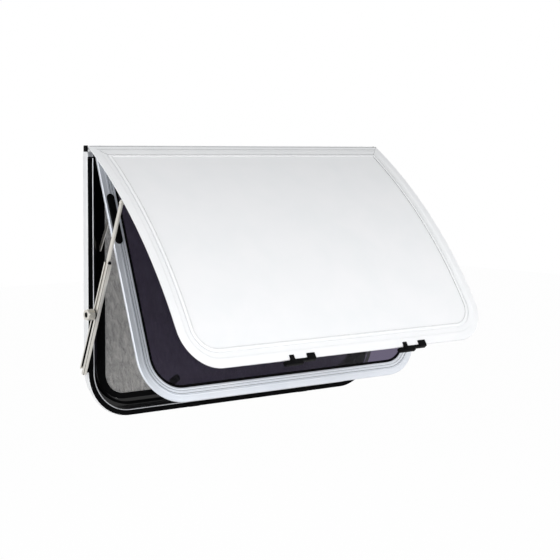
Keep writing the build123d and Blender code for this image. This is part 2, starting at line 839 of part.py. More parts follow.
catches = []
for name, side in (("left", -1), ("right", 1)):
    with BuildPart() as catch:
        with BuildSketch(face.offset(flange_thickness + band_thickness)):
            with Locations((latch_shift + side * latch_spacing / 2, sill + band_edge + catch_height / 2)):
                Rectangle(catch_length, catch_height)
            fillet(vertices(), catch_round)
        extrude(amount=catch_thickness)
    catch.part.label = f"{name}_catch"
    catches.append(catch)

caps = []
for name, side in (("left", -1), ("right", 1)):
    with BuildPart() as cap:
        with BuildSketch(side_plane(face, side * (frame_width / 2 + end_cap / 2))):
            with Locations((end_cap_reach / 2, head - end_cap_height / 2)):
                RectangleRounded(end_cap_reach, end_cap_height, end_cap_round)
        extrude(amount=end_cap / 2 - fit, both=True)
    cap.part.label = f"{name}_end_cap"
    caps.append(cap)

latches = [
    latch_at(latch_shift - latch_spacing / 2, "left_latch"),
    latch_at(latch_shift + latch_spacing / 2, "right_latch"),
]

# Right-hand pieces mirror the left-hand ones
right_pieces = []
for left in left_pieces:
    with BuildPart() as right:
        mirror(left.part, about=Plane.YZ)
    right.part.label = left.part.label.replace("left", "right")
    right_pieces.append(right)

os.makedirs("parts", exist_ok=True)
for piece in fixed_pieces + left_pieces + right_pieces + catches + caps + latches:
    export_step(piece.part, f"parts/{piece.part.label}.step")
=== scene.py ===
"""Dress a top-hung caravan window: finishes, woven mesh, knobs, rail lines, light and camera."""

import logging
import math
from collections.abc import Callable
from dataclasses import dataclass, replace
from enum import Enum
from functools import partial

import bmesh
import bpy
from mathutils import Matrix, Vector


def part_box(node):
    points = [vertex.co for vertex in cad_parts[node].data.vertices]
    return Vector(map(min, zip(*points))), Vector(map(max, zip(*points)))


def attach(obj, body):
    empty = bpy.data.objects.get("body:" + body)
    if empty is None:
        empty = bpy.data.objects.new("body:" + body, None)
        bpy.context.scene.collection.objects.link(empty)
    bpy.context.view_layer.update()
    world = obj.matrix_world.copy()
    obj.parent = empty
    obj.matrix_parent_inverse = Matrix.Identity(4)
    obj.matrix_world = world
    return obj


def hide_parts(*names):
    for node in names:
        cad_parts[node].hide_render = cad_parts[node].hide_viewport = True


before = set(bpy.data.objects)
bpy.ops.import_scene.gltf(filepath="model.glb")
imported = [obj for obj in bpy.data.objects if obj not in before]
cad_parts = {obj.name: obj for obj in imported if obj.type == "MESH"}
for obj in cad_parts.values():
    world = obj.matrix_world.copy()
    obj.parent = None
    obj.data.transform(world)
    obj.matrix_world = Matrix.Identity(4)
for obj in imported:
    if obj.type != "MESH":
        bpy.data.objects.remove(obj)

LOG = logging.getLogger("caravan_window")
Colour = tuple[float, float, float]
Triple = tuple[float, float, float]
Path = Callable[[float, float], list[Vector]]
MM = 0.001
WELD = 0.000001
NOISE_MIDDLE = (0.3, 0.7)
STAY_LEAN = math.radians(21.3)
SASH_OPEN = math.radians(20.6)
COVER_OPEN = math.radians(41.4)


class Side(Enum):
    """The two ends of the window, with the way outboard along X."""

    LEFT = -1
    RIGHT = 1

    @property
    def word(self) -> str:
        """The side's name as the pieces carry it."""
        return self.name.lower()

    @property
    def outboard(self) -> Vector:
        """The direction away from the middle of the window."""
        return Vector((self.value, 0.0, 0.0))


class Slot(Enum):
    """The record's material slots."""

    PAINT = "white_paint"
    RUBBER = "black_rubber"
    BRIGHT = "bright_aluminium"
    SATIN = "satin_aluminium"
    PLASTIC = "black_plastic"
    MESH = "grey_mesh"
    GLASS = "tinted_glass"
    STAY = "stay_metal"


class Bench:
    """A node tree with short ways to add and join nodes."""

    def __init__(self, name: str) -> None:
        """Start a material with a shader and its output.

        Args:
            name: The material's name.
        """
        self.material = bpy.data.materials.new(name)
        self.material.use_nodes = True
        self.tree = self.material.node_tree
        self.tree.nodes.clear()
        self.shader = self.add("ShaderNodeBsdfPrincipled")
        self.join(self.shader, "BSDF", self.add("ShaderNodeOutputMaterial"), "Surface")

    def add(self, kind: str, **values: object) -> bpy.types.Node:
        """Add a node and set its properties.

        Args:
            kind: The node's type.
            values: Properties of the node.

        Returns:
            The new node.
        """
        node = self.tree.nodes.new(kind)
        for key, value in values.items():
            setattr(node, key, value)
        return node

    def join(self, source: bpy.types.Node, out: str | int,
             target: bpy.types.Node, into: str | int) -> None:
        """Link an output of one node to an input of another."""
        self.tree.links.new(source.outputs[out], target.inputs[into])

    def place(self, size: Triple, turn: Triple = (0.0, 0.0, 0.0)) -> bpy.types.Node:
        """Add turned object coordinates that count in a texture's own sizes.

        Args:
            size: Length of one repeat along each axis, in metres.
            turn: Turn of the texture about each axis, in radians.

        Returns:
            The mapping node.
        """
        coords = self.add("ShaderNodeTexCoord")
        mapping = self.add("ShaderNodeMapping", vector_type="TEXTURE")
        mapping.inputs["Rotation"].default_value = turn
        mapping.inputs["Scale"].default_value = size
        self.join(coords, "Object", mapping, "Vector")
        return mapping

    def noise(self, mapping: bpy.types.Node, detail: float = 2.0,
              distortion: float = 0.0) -> bpy.types.Node:
        """Add a noise of unit scale on a mapping.

        Args:
            mapping: The node that gives the coordinates.
            detail: Octaves of finer noise.
            distortion: How far the noise is pushed about.

        Returns:
            The noise node.
        """
        noise = self.add("ShaderNodeTexNoise", noise_dimensions="3D")
        noise.inputs["Scale"].default_value = 1.0
        noise.inputs["Detail"].default_value = detail
        noise.inputs["Distortion"].default_value = distortion
        self.join(mapping, "Vector", noise, "Vector")
        return noise

    def spread(self, source: bpy.types.Node, low: float, high: float) -> bpy.types.Node:
        """Map the middle of a noise to a range.

        Args:
            source: The noise node.
            low: Value at the noise's dark end.
            high: Value at its bright end.

        Returns:
            The map range node.
        """
        ranged = self.add("ShaderNodeMapRange", clamp=True)
        keys = ("From Min", "From Max", "To Min", "To Max")
        for key, value in zip(keys, (*NOISE_MIDDLE, low, high)):
            ranged.inputs[key].default_value = value
        self.join(source, 0, ranged, "Value")
        return ranged

    def tint(self, factor: bpy.types.Node, first: Colour, second: Colour) -> None:
        """Mix two colours by a factor and send them to the shader's base colour.

        Args:
            factor: Node whose first output blends the colours.
            first: Colour at factor 0.
            second: Colour at factor 1.
        """
        mix = self.add("ShaderNodeMix", data_type="RGBA")
        mix.inputs["A"].default_value = (*first, 1.0)
        mix.inputs["B"].default_value = (*second, 1.0)
        self.join(factor, 0, mix, "Factor")
        self.join(mix, "Result", self.shader, "Base Color")

    def relief(self, source: bpy.types.Node, depth: float) -> None:
        """Raise the surface by a texture.

        Args:
            source: Node whose first output is the height.
            depth: Height of the relief in metres.
        """
        bump = self.add("ShaderNodeBump")
        bump.inputs["Distance"].default_value = depth
        bump.inputs["Strength"].default_value = 1.0
        self.join(source, 0, bump, "Height")
        self.join(bump, "Normal", self.shader, "Normal")

    def set(self, **values: object) -> None:
        """Set the shader's own sockets, with underscores for spaces."""
        for key, value in values.items():
            self.shader.inputs[key.replace("_", " ")].default_value = value


@dataclass(frozen=True)
class Finish:
    """An opaque finish with a cloudy tone, a fine grain and its relief."""

    slot: Slot
    first: Colour
    second: Colour
    cloud: float
    grain: Triple
    gloss: tuple[float, float]
    depth: float
    metallic: float = 0.0
    specular: float = 0.5
    coat: float = 0.0
    turn: Triple = (0.0, 0.0, 0.0)
    kind: str = "finish"

    def material(self) -> bpy.types.Material:
        """Build the finish's material.

        Returns:
            The node material.
        """
        bench = Bench(f"{self.slot.value}_{self.kind}")
        bench.set(Metallic=self.metallic, Specular_IOR_Level=self.specular, Coat_Weight=self.coat)
        clouds = bench.noise(bench.place((self.cloud,) * 3), detail=3.0, distortion=0.4)
        bench.tint(bench.spread(clouds, 0.0, 1.0), self.first, self.second)
        grain = bench.noise(bench.place(self.grain, self.turn), detail=2.0)
        bench.join(bench.spread(grain, *self.gloss), 0, bench.shader, "Roughness")
        bench.relief(grain, self.depth)
        return bench.material


@dataclass(frozen=True)
class GlassFinish:
    """Smoke tinted glazing, clear through, with faint unevenness in its gloss."""

    slot: Slot
    first: Colour
    second: Colour
    cloud: float
    gloss: tuple[float, float]
    index: float

    def material(self) -> bpy.types.Material:
        """Build the glazing's material.

        Returns:
            The node material.
        """
        bench = Bench(self.slot.value + "_finish")
        bench.set(Transmission_Weight=1.0, IOR=self.index)
        clouds = bench.noise(bench.place((self.cloud,) * 3), detail=2.0)
        bench.tint(bench.spread(clouds, 0.0, 1.0), self.first, self.second)
        bench.join(bench.spread(clouds, *self.gloss), 0, bench.shader, "Roughness")
        return bench.material


@dataclass(frozen=True)
class YarnFinish:
    """Charcoal coated yarn that dulls and brightens in slow ripples down the screen."""

    slot: Slot
    first: Colour
    second: Colour
    ripple: Triple
    slant: Triple
    gloss: tuple[float, float]
    grain: float
    depth: float

    def material(self) -> bpy.types.Material:
        """Build the yarn's material.

        Returns:
            The node material.
        """
        bench = Bench(self.slot.value + "_finish")
        bench.set(Specular_IOR_Level=0.3)
        ripples = bench.noise(bench.place(self.ripple, self.slant), detail=1.5, distortion=0.8)
        bench.tint(bench.spread(ripples, 0.0, 1.0), self.first, self.second)
        grain = bench.noise(bench.place((self.grain,) * 3))
        bench.join(bench.spread(grain, *self.gloss), 0, bench.shader, "Roughness")
        bench.relief(grain, self.depth)
        return bench.material


MOULDED = Finish(
    slot=Slot.PLASTIC,
    first=(0.0024, 0.0024, 0.0028),
    second=(0.0042, 0.0042, 0.0046),
    cloud=0.02,
    grain=(0.0007,) * 3,
    gloss=(0.40, 0.54),
    depth=0.00002,
    specular=0.025,
)
POLISHED = replace(
    MOULDED,
    grain=(0.004,) * 3,
    gloss=(0.08, 0.14),
    depth=0.000005,
    specular=0.35,
    kind="polish",
)
POLISHED_NODES = ("inner_liner",)
FINISHES: tuple[Finish | GlassFinish | YarnFinish, ...] = (
    Finish(
        slot=Slot.PAINT,
        first=(0.84, 0.85, 0.86),
        second=(0.87, 0.87, 0.88),
        cloud=0.09,
        grain=(0.0016,) * 3,
        gloss=(0.28, 0.36),
        depth=0.000015,
        coat=0.15,
    ),
    Finish(
        slot=Slot.RUBBER,
        first=(0.0022, 0.0022, 0.0025),
        second=(0.0036, 0.0036, 0.0040),
        cloud=0.03,
        grain=(0.0008,) * 3,
        gloss=(0.55, 0.72),
        depth=0.00003,
        specular=0.02,
    ),
    Finish(
        slot=Slot.BRIGHT,
        first=(0.46, 0.47, 0.49),
        second=(0.54, 0.55, 0.57),
        cloud=0.05,
        grain=(0.03, 0.0006, 0.0006),
        gloss=(0.34, 0.46),
        depth=0.000006,
        metallic=1.0,
    ),
    Finish(
        slot=Slot.SATIN,
        first=(0.69, 0.725, 0.78),
        second=(0.76, 0.785, 0.83),
        cloud=0.12,
        grain=(0.06, 0.0009, 0.0009),
        gloss=(0.46, 0.58),
        depth=0.000008,
        metallic=0.5,
    ),
    MOULDED,
    Finish(
        slot=Slot.STAY,
        first=(0.64, 0.62, 0.575),
        second=(0.72, 0.70, 0.655),
        cloud=0.06,
        grain=(0.0006, 0.0006, 0.04),
        gloss=(0.30, 0.44),
        depth=0.000008,
        metallic=0.9,
        turn=(STAY_LEAN, 0.0, 0.0),
    ),
    GlassFinish(
        slot=Slot.GLASS,
        first=(0.098, 0.080, 0.142),
        second=(0.110, 0.091, 0.154),
        cloud=0.3,
        gloss=(0.0, 0.015),
        index=1.47,
    ),
    YarnFinish(
        slot=Slot.MESH,
        first=(0.20, 0.194, 0.185),
        second=(0.445, 0.432, 0.41),
        ripple=(0.0065, 0.05, 0.017),
        slant=(0.0, -0.22, 0.0),
        gloss=(0.55, 0.75),
        grain=0.0006,
        depth=0.00004,
    ),
)


class Wardrobe:
    """The finished materials, one for each slot, and the liner's polish."""

    def __init__(self) -> None:
        """Build every finish once."""
        self.materials = {finish.slot: finish.material() for finish in FINISHES}
        self.polish = POLISHED.material()

    def dress(self, piece: bpy.types.Object, slot: Slot) -> None:
        """Give a piece one finish.

        Args:
            piece: The object to dress.
            slot: The slot whose finish it takes.
        """
        piece.data.materials.clear()
        piece.data.materials.append(self.materials[slot])

    def dress_nodes(self) -> None:
        """Give every CAD node the finish that its own slot names, or the polish."""
        for name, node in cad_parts.items():
            holder = node.material_slots[0]
            slot = Slot(holder.material.name.split(".")[0])
            holder.material = self.polish if name in POLISHED_NODES else self.materials[slot]
            LOG.info("%s takes %s", name, slot.value)


def add_block(work: bmesh.types.BMesh, middle: Vector, size: Vector,
              turn: Matrix = Matrix.Identity(4).freeze()) -> None:
    """Add a block to a bmesh.

    Args:
        work: The bmesh.
        middle: The block's middle.
        size: Its size along its own axes.
        turn: How those axes are turned.
    """
    place = Matrix.Translation(middle) @ turn @ Matrix.Diagonal((*size, 1.0))
    bmesh.ops.create_cube(work, size=1.0, matrix=place)


def round_edges(work: bmesh.types.BMesh, edges: list[bmesh.types.BMEdge], width: float,
                steps: int = 2) -> None:
    """Round edges of a bmesh.

    Args:
        work: The bmesh.
        edges: The edges to round.
        width: Width of the rounding in metres.
        steps: Facets of the rounding.
    """
    bmesh.ops.bevel(work, geom=edges, offset=width, offset_type="OFFSET", segments=steps,
                    profile=0.5, affect="EDGES", clamp_overlap=True, material=-1)


def raise_ring(work: bmesh.types.BMesh, ring: list[bmesh.types.BMEdge], up: float,
               grow: float) -> list[bmesh.types.BMEdge]:
    """Raise a ring of edges along Z and widen or narrow it.

    Args:
        work: The bmesh.
        ring: Edges of the last ring.
        up: Rise along Z.
        grow: Scale of the new ring about the axis.

    Returns:
        Edges of the new ring.
    """
    raised = bmesh.ops.extrude_edge_only(work, edges=ring)["geom"]
    points = [g for g in raised if isinstance(g, bmesh.types.BMVert)]
    bmesh.ops.translate(work, verts=points, vec=(0.0, 0.0, up))
    bmesh.ops.scale(work, verts=points, vec=(grow, grow, 1.0))
    edges = [g for g in raised if isinstance(g, bmesh.types.BMEdge)]
    return [edge for edge in edges if all(v in points for v in edge.verts)]


def stand_on(foot: Vector, way: Vector) -> Matrix:
    """Stand what was made along Z on a foot, along another way.

    Args:
        foot: Where its origin goes.
        way: The direction that its Z axis takes.

    Returns:
        The matrix that places it.
    """
    turn = Vector((0.0, 0.0, 1.0)).rotation_difference(way).to_matrix().to_4x4()
    return Matrix.Translation(foot) @ turn


@dataclass
class Maker:
    """Turns bmeshes into finished pieces that ride on a body."""

    wardrobe: Wardrobe
    merge: float = 0.00001
    flat: float = math.radians(0.5)
    sharp: float = math.radians(35.0)

    def piece(self, name: str, work: bmesh.types.BMesh, body: str, slot: Slot, *nodes: str,
              smooth: float = math.radians(32.0)) -> bpy.types.Object:
        """Make an object of a bmesh, dress it and let it ride.

        Args:
            name: The piece's name.
            work: The bmesh, which is freed.
            body: The CAD body that the piece moves with.
            slot: The slot whose finish it takes.
            nodes: CAD nodes that the piece stands for.
            smooth: Edges flatter than this angle are shaded smooth.

        Returns:
            The finished piece.
        """
        mesh = bpy.data.meshes.new(name)
        work.to_mesh(mesh)
        work.free()
        mesh.shade_smooth()
        mesh.set_sharp_from_angle(angle=smooth)
        made = bpy.data.objects.new(name, mesh)
        bpy.context.scene.collection.objects.link(made)
        self.wardrobe.dress(made, slot)
        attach(made, body)
        if nodes:
            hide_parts(*nodes)
        LOG.info("%s rides on %s with %d faces", name, body, len(mesh.polygons))
        return made

    def softened(self, node: str, body: str, slot: Slot, width: float,
                 steps: int = 2) -> bpy.types.Object:
        """Stand a copy of a CAD node with rounded edges in for it.

        Args:
            node: The CAD node.
            body: The CAD body that it belongs to.
            slot: The slot whose finish it takes.
            width: Width of the rounding in metres.
            steps: Facets of the rounding.

        Returns:
            The finished piece.
        """
        work = bmesh.new()
        work.from_mesh(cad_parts[node].data)
        bmesh.ops.remove_doubles(work, verts=work.verts[:], dist=self.merge)
        bmesh.ops.dissolve_limit(work, angle_limit=self.flat, verts=work.verts[:],
                                 edges=work.edges[:])
        closed = [e for e in work.edges if len(e.link_faces) == 2]
        round_edges(work, [e for e in closed if e.calc_face_angle() > self.sharp], width, steps)
        return self.piece(node + "_rounded", work, body, slot, node)


@dataclass
class FlyMesh:
    """The woven screen: upright yarns before level ones, trimmed to the ring's round corners."""

    maker: Maker
    pitch: float = 1.4 * MM
    yarn_width: float = 0.9 * MM
    yarn_thickness: float = 0.15 * MM
    layer_share: float = 0.55
    corner: float = 63.9 * MM
    trims: int = 12

    def trim(self, work: bmesh.types.BMesh, low: Vector, high: Vector) -> None:
        """Cut both lower corners round with planes that touch their arcs.

        Args:
            work: The bmesh of straight yarns.
            low: Lowest corner of the screen.
            high: Highest corner of the screen.
        """
        for side in Side:
            edge = low.x if side is Side.LEFT else high.x
            centre = Vector((edge - side.value * self.corner, 0.0, low.z + self.corner))
            for step in range(self.trims):
                angle = math.radians(90.0) * (step + 0.5) / self.trims
                way = Vector((side.value * math.cos(angle), 0.0, -math.sin(angle)))
                everything = work.verts[:] + work.edges[:] + work.faces[:]
                bmesh.ops.bisect_plane(work, geom=everything, dist=WELD, clear_outer=True,
                                       plane_co=centre + way * self.corner, plane_no=way)
        open_edges = [e for e in work.edges if e.is_boundary]
        bmesh.ops.holes_fill(work, edges=open_edges, sides=0)

    def build(self) -> bpy.types.Object:
        """Weave the screen.

        Returns:
            The mesh piece.
        """
        low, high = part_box("fly_screen")
        middle, span = (low + high) / 2, high - low
        front = middle.y - self.yarn_thickness * self.layer_share
        rear = middle.y + self.yarn_thickness * self.layer_share
        work = bmesh.new()
        uprights = int(span.x / self.pitch)
        size = Vector((self.yarn_width, self.yarn_thickness, span.z))
        for index in range(uprights):
            x = middle.x + (index - (uprights - 1) / 2) * self.pitch
            add_block(work, Vector((x, front, middle.z)), size)
        levels = int(span.z / self.pitch)
        size = Vector((span.x, self.yarn_thickness, self.yarn_width))
        for index in range(levels):
            z = middle.z + (index - (levels - 1) / 2) * self.pitch
            add_block(work, Vector((middle.x, rear, z)), size)
        self.trim(work, low, high)
        made = self.maker.piece("fly_mesh", work, "frame", Slot.MESH, "fly_screen", smooth=0.1)
        return made


@dataclass
class ClampKnob:
    """A knurled clamp knob with a hexagon socket in its outer end."""

    maker: Maker
    side: Side
    ridges: int = 30
    ridge_points: int = 4
    groove_points: int = 2
    ridge_depth: float = 1.8 * MM
    collar: float = 3.2 * MM
    collar_share: float = 0.97
    edge: float = 1.1 * MM
    edge_share: float = 0.97
    socket: float = 5.8 * MM
    socket_depth: float = 7.0 * MM
    # A dark plug in the socket paints the shade of its deep hollow.
    plug_radius: float = 5.7 * MM
    plug_below: float = 0.2 * MM
    plug_gap: float = 0.1 * MM
    plug_facets: int = 24

    @staticmethod
    def measure(node: str, washer: str) -> tuple[Vector, Vector, float, float]:
        """Find the knob's axis from the washer behind it, and its size about that axis.

        Args:
            node: The CAD knob.
            washer: The CAD washer on the same axis.

        Returns:
            Middle of the knob's foot, its axis, radius and length.
        """
        middle, back = (sum(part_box(name), Vector()) / 2 for name in (node, washer))
        way = (middle - back).normalized()
        offsets = [v.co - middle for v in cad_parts[node].data.vertices]
        along = [offset.dot(way) for offset in offsets]
        radius = max((offset - way * share).length for offset, share in zip(offsets, along))
        return middle + way * min(along), way, radius, max(along) - min(along)

    def build(self) -> bpy.types.Object:
        """Turn and knurl the knob.

        Returns:
            The knob's piece.
        """
        node = f"{self.side.word}_stay_knob"
        start, way, radius, length = self.measure(node, f"{self.side.word}_stay_washer")
        work = bmesh.new()
        points = self.ridge_points * self.ridges
        circle = bmesh.ops.create_circle(work, cap_ends=False, segments=points, radius=radius)
        for index, vert in enumerate(circle["verts"]):
            if index % self.ridge_points < self.groove_points:
                vert.co *= 1.0 - self.ridge_depth / radius
        ring = work.edges[:]
        bmesh.ops.edgeloop_fill(work, edges=ring)
        ring = raise_ring(work, ring, length - self.collar, 1.0)
        ring = raise_ring(work, ring, self.edge, 1.0)
        for vert in {v for e in ring for v in e.verts}:
            vert.co.xy = vert.co.xy.normalized() * radius * self.collar_share
        ring = raise_ring(work, ring, self.collar - 2 * self.edge, 1.0)
        ring = raise_ring(work, ring, self.edge, self.edge_share)
        mouth = raise_ring(work, ring, 0.0, 1.0)
        facet = math.radians(60.0)
        for vert in {v for e in mouth for v in e.verts}:
            angle = math.atan2(vert.co.y, vert.co.x)
            reach = self.socket / math.cos(angle % facet - facet / 2)
            vert.co = Vector((reach * math.cos(angle), reach * math.sin(angle), vert.co.z))
        floor = raise_ring(work, mouth, -self.socket_depth, 1.0)
        bmesh.ops.edgeloop_fill(work, edges=floor)
        bmesh.ops.recalc_face_normals(work, faces=work.faces[:])
        stand = stand_on(start, way)
        bmesh.ops.transform(work, matrix=stand, verts=work.verts[:])
        body = f"{self.side.word}_rod"
        # The socket's shade is painted with a dark plug.
        self.plug(stand, length, body)
        return self.maker.piece(f"{self.side.word}_clamp_knob", work, body, Slot.STAY, node)

    def plug(self, stand: Matrix, length: float, body: str) -> bpy.types.Object:
        """Fill the knob's deep socket with a dark plug that paints the socket's shade.

        Args:
            stand: Where the knob stands, its foot at the origin and its axis along Z.
            length: The knob's length.
            body: The CAD body that the knob moves with.

        Returns:
            The painted shade's piece.
        """
        work = bmesh.new()
        reach = self.socket_depth - self.plug_below
        middle = length - self.socket_depth + reach / 2 + self.plug_gap
        bmesh.ops.create_cone(work, cap_ends=True, segments=self.plug_facets,
                              depth=reach - 2 * self.plug_gap,
                              radius1=self.plug_radius, radius2=self.plug_radius,
                              matrix=Matrix.Translation((0.0, 0.0, middle)))
        bmesh.ops.transform(work, matrix=stand, verts=work.verts[:])
        return self.maker.piece(f"{self.side.word}_knob_screw", work, body, Slot.PLASTIC)


@dataclass
class RoundHeads:
    """Domed heads of the rivets that hold the stays, as shares of height and radius."""

    maker: Maker
    facets: int = 28
    rings: tuple[tuple[float, float], ...] = (
        (0.0, 1.0),
        (0.35, 1.0),
        (0.7, 0.9),
        (0.9, 0.68),
        (1.0, 0.4),
    )

    def head(self, name: str, body: str, foot: Vector, way: Vector, radius: float,
             height: float) -> bpy.types.Object:
        """Raise one domed head.

        Args:
            name: The piece's name.
            body: The CAD body that it moves with.
            foot: Middle of the head's flat side.
            way: Direction that it stands in.
            radius: Radius of the head.
            height: Height of the head.

        Returns:
            The head's piece.
        """
        work = bmesh.new()
        bmesh.ops.create_circle(work, cap_ends=True, segments=self.facets, radius=radius)
        ring = work.edges[:]
        last_up, last_wide = self.rings[0]
        for up, wide in self.rings[1:]:
            ring = raise_ring(work, ring, (up - last_up) * height, wide / last_wide)
            last_up, last_wide = up, wide
        bmesh.ops.edgeloop_fill(work, edges=ring)
        bmesh.ops.recalc_face_normals(work, faces=work.faces[:])
        bmesh.ops.transform(work, matrix=stand_on(foot, way), verts=work.verts[:])
        return self.maker.piece(name, work, body, Slot.STAY)


@dataclass
class Stays:
    """Both telescopic stays, with rounded edges, dark strips of painted shadow, knobs and rivets.
    """

    maker: Maker
    pin_radius: float = 3.6 * MM
    pin_height: float = 1.2 * MM
    pin_slack: float = 0.1 * MM
    # The strip of painted shadow on the channel's wall: its drop under the edge, its width and its
    # height proud.
    edge: float = 0.5 * MM
    seam_under: float = 0.6 * MM
    seam_width: float = 1.1 * MM
    seam_proud: float = 0.2 * MM

    def seam(self, word: str, pivot: Vector) -> bpy.types.Object:
        """Draw a dark strip of painted shadow along the channel's outdoor wall, just under its
        outboard edge, for the shade of the gap beside the rod.

        Args:
            word: The side's name.
            pivot: Middle of the stay's pin.

        Returns:
            The seam's piece.
        """
        foot, face, _, _ = ClampKnob.measure(f"{word}_stay_knob", f"{word}_stay_washer")
        along = foot - pivot
        along = (along - face * along.dot(face)).normalized()
        across = face.cross(along)
        if across.y > 0.0:
            across.negate()
        offsets = [v.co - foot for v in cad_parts[f"{word}_stay_channel"].data.vertices]
        start, end = (pick(o.dot(along) for o in offsets) for pick in (min, max))
        wall, top = (max(o.dot(way) for o in offsets) for way in (across, face))
        height = top - self.seam_under - self.seam_width / 2
        middle = foot + along * (start + end) / 2 + across * wall + face * height
        size = Vector((end - start - self.seam_width, self.seam_proud, self.seam_width))
        work = bmesh.new()
        add_block(work, middle, size, Matrix((along, across, face)).transposed().to_4x4())
        bmesh.ops.recalc_face_normals(work, faces=work.faces[:])
        return self.maker.piece(f"{word}_channel_seam", work, f"{word}_channel", Slot.PLASTIC)

    def pin_end(self, node: str, side: Side) -> Vector:
        """Find the middle of a lug's pin at its outboard end.

        Args:
            node: The CAD lug.
            side: The end of the window that it is on.

        Returns:
            The middle of the pin's end face.
        """
        points = [v.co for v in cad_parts[node].data.vertices]
        tip = max(point.x * side.value for point in points)
        ends = [point for point in points if tip - point.x * side.value < self.pin_slack]
        return sum(ends, Vector()) / len(ends)

    def build(self) -> None:
        """Build the pieces of both sides."""
        heads = RoundHeads(self.maker)
        for side in Side:
            word = side.word
            ClampKnob(self.maker, side).build()
            for piece, body, slot in (
                ("stay_channel", f"{word}_channel", Slot.STAY),
                ("stay_foot", "frame", Slot.PLASTIC),
            ):
                self.maker.softened(f"{word}_{piece}", body, slot, self.edge)
            pivot = self.pin_end(f"{word}_stay_lug", side)
            # A dark strip on the channel's wall paints the shadow of the gap beside the rod.
            self.seam(word, pivot)
            heads.head(f"{word}_stay_rivet", "cover", pivot, side.outboard,
                       self.pin_radius, self.pin_height)


@dataclass(frozen=True)
class Line:
    """A ridge, or a dark strip for a joint or for painted shade: its edges in from the outline, its
    height, and its slopes' shares.
    """

    start: float
    end: float
    rise: float
    climb: float
    fall: float


@dataclass
class RailLines:
    """Fine ridges, and dark strips for joints and painted shade, laid on the rails of a leaf that
    hangs from a hinge.
    """

    maker: Maker
    body: str
    hinge_out: float
    hinge_up: float
    swing: float
    sunk: float = 0.4 * MM
    arc_steps: int = 24

    def point(self, x: float, up: float, out: float) -> Vector:
        """Place a point of the leaf in the window's frame.

        Args:
            x: Distance along the hinge.
            up: Height over the hinge, along the leaf.
            out: Distance out of the leaf's plane.

        Returns:
            The point.
        """
        up_way = Vector((0.0, math.sin(self.swing), math.cos(self.swing)))
        out_way = Vector((0.0, -math.cos(self.swing), math.sin(self.swing)))
        return Vector((x, -self.hinge_out, self.hinge_up)) + up_way * up + out_way * out

    def lay(self, name: str, slot: Slot, path: Path, line: Line) -> bpy.types.Object:
        """Lay one line along a path on the rail's face.

        Args:
            name: The piece's name.
            slot: The slot whose finish it takes.
            path: Gives the points at an inset from the outline and a height over the face.
            line: The line's section.

        Returns:
            The line's piece.
        """
        width = line.end - line.start
        section = [
            (line.start, -self.sunk),
            (line.start, 0.0),
            (line.start + width * line.climb, line.rise),
            (line.end - width * line.fall, line.rise),
            (line.end, 0.0),
            (line.end, -self.sunk),
            (line.start, -self.sunk),
        ]
        paths = [path(inset, over) for inset, over in section]
        work = bmesh.new()
        across, along = len(section) - 1, len(paths[0]) - 1
        grid = bmesh.ops.create_grid(work, x_segments=along, y_segments=across, size=0.5)
        for vert in grid["verts"]:
            row, column = round((vert.co.y + 0.5) * across), round((vert.co.x + 0.5) * along)
            vert.co = paths[row][column]
        bmesh.ops.remove_doubles(work, verts=work.verts[:], dist=WELD)
        bmesh.ops.holes_fill(work, edges=[e for e in work.edges if e.is_boundary], sides=0)
        bmesh.ops.recalc_face_normals(work, faces=work.faces[:])
        return self.maker.piece(name, work, self.body, slot)


@dataclass
class SashLines(RailLines):
    """Lines that run down the sash's stiles and along its lower rail."""

    body: str = "sash"
    hinge_out: float = 8.0 * MM
    hinge_up: float = 591.5 * MM
    swing: float = SASH_OPEN
    corner: float = 103.3 * MM
    top_drop: float = 13.0 * MM
    length: float = 576.8 * MM
    front: float = 1.3 * MM
    ridges: tuple[Line, ...] = (
        Line(12.4 * MM, 15.4 * MM, 0.5 * MM, 0.32, 0.32),
        Line(26.0 * MM, 29.0 * MM, 0.4 * MM, 0.32, 0.32),
    )
    # Dark strips beside the rail's grooves are painted shade of the grooves and steps.
    seams: tuple[Line, ...] = (
        Line(17.7 * MM, 18.5 * MM, 0.05 * MM, 0.1, 0.1),
        Line(24.4 * MM, 24.8 * MM, 0.05 * MM, 0.1, 0.1),
    )

    def outline(self, inset: float, over: float) -> list[Vector]:
        """Follow the sash's outline down, round its lower corners and up, moved inward.

        Args:
            inset: Distance inward from the outline.
            over: Height over the rail's face.

        Returns:
            Points from the left stile's head to the right stile's.
        """
        low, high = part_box("sash_frame")
        half = (high.x - low.x) / 2
        top, bend = -self.top_drop - inset, self.corner - self.length
        radius = self.corner - inset
        flat = [(inset - half, top)]
        for side, start in ((Side.LEFT, 180.0), (Side.RIGHT, 270.0)):
            middle = side.value * (half - self.corner)
            for step in range(self.arc_steps + 1):
                angle = math.radians(start + 90.0 * step / self.arc_steps)
                flat.append((middle + radius * math.cos(angle), bend + radius * math.sin(angle)))
        flat.append((half - inset, top))
        return [self.point(x, up, self.front + over) for x, up in flat]

    def build(self) -> None:
        """Lay every ridge and every dark strip of painted shade."""
        for number, ridge in enumerate(self.ridges, 1):
            self.lay(f"sash_ridge_{number}", Slot.SATIN, self.outline, ridge)
        for number, seam in enumerate(self.seams, 1):
            self.lay(f"sash_seam_{number}", Slot.RUBBER, self.outline, seam)


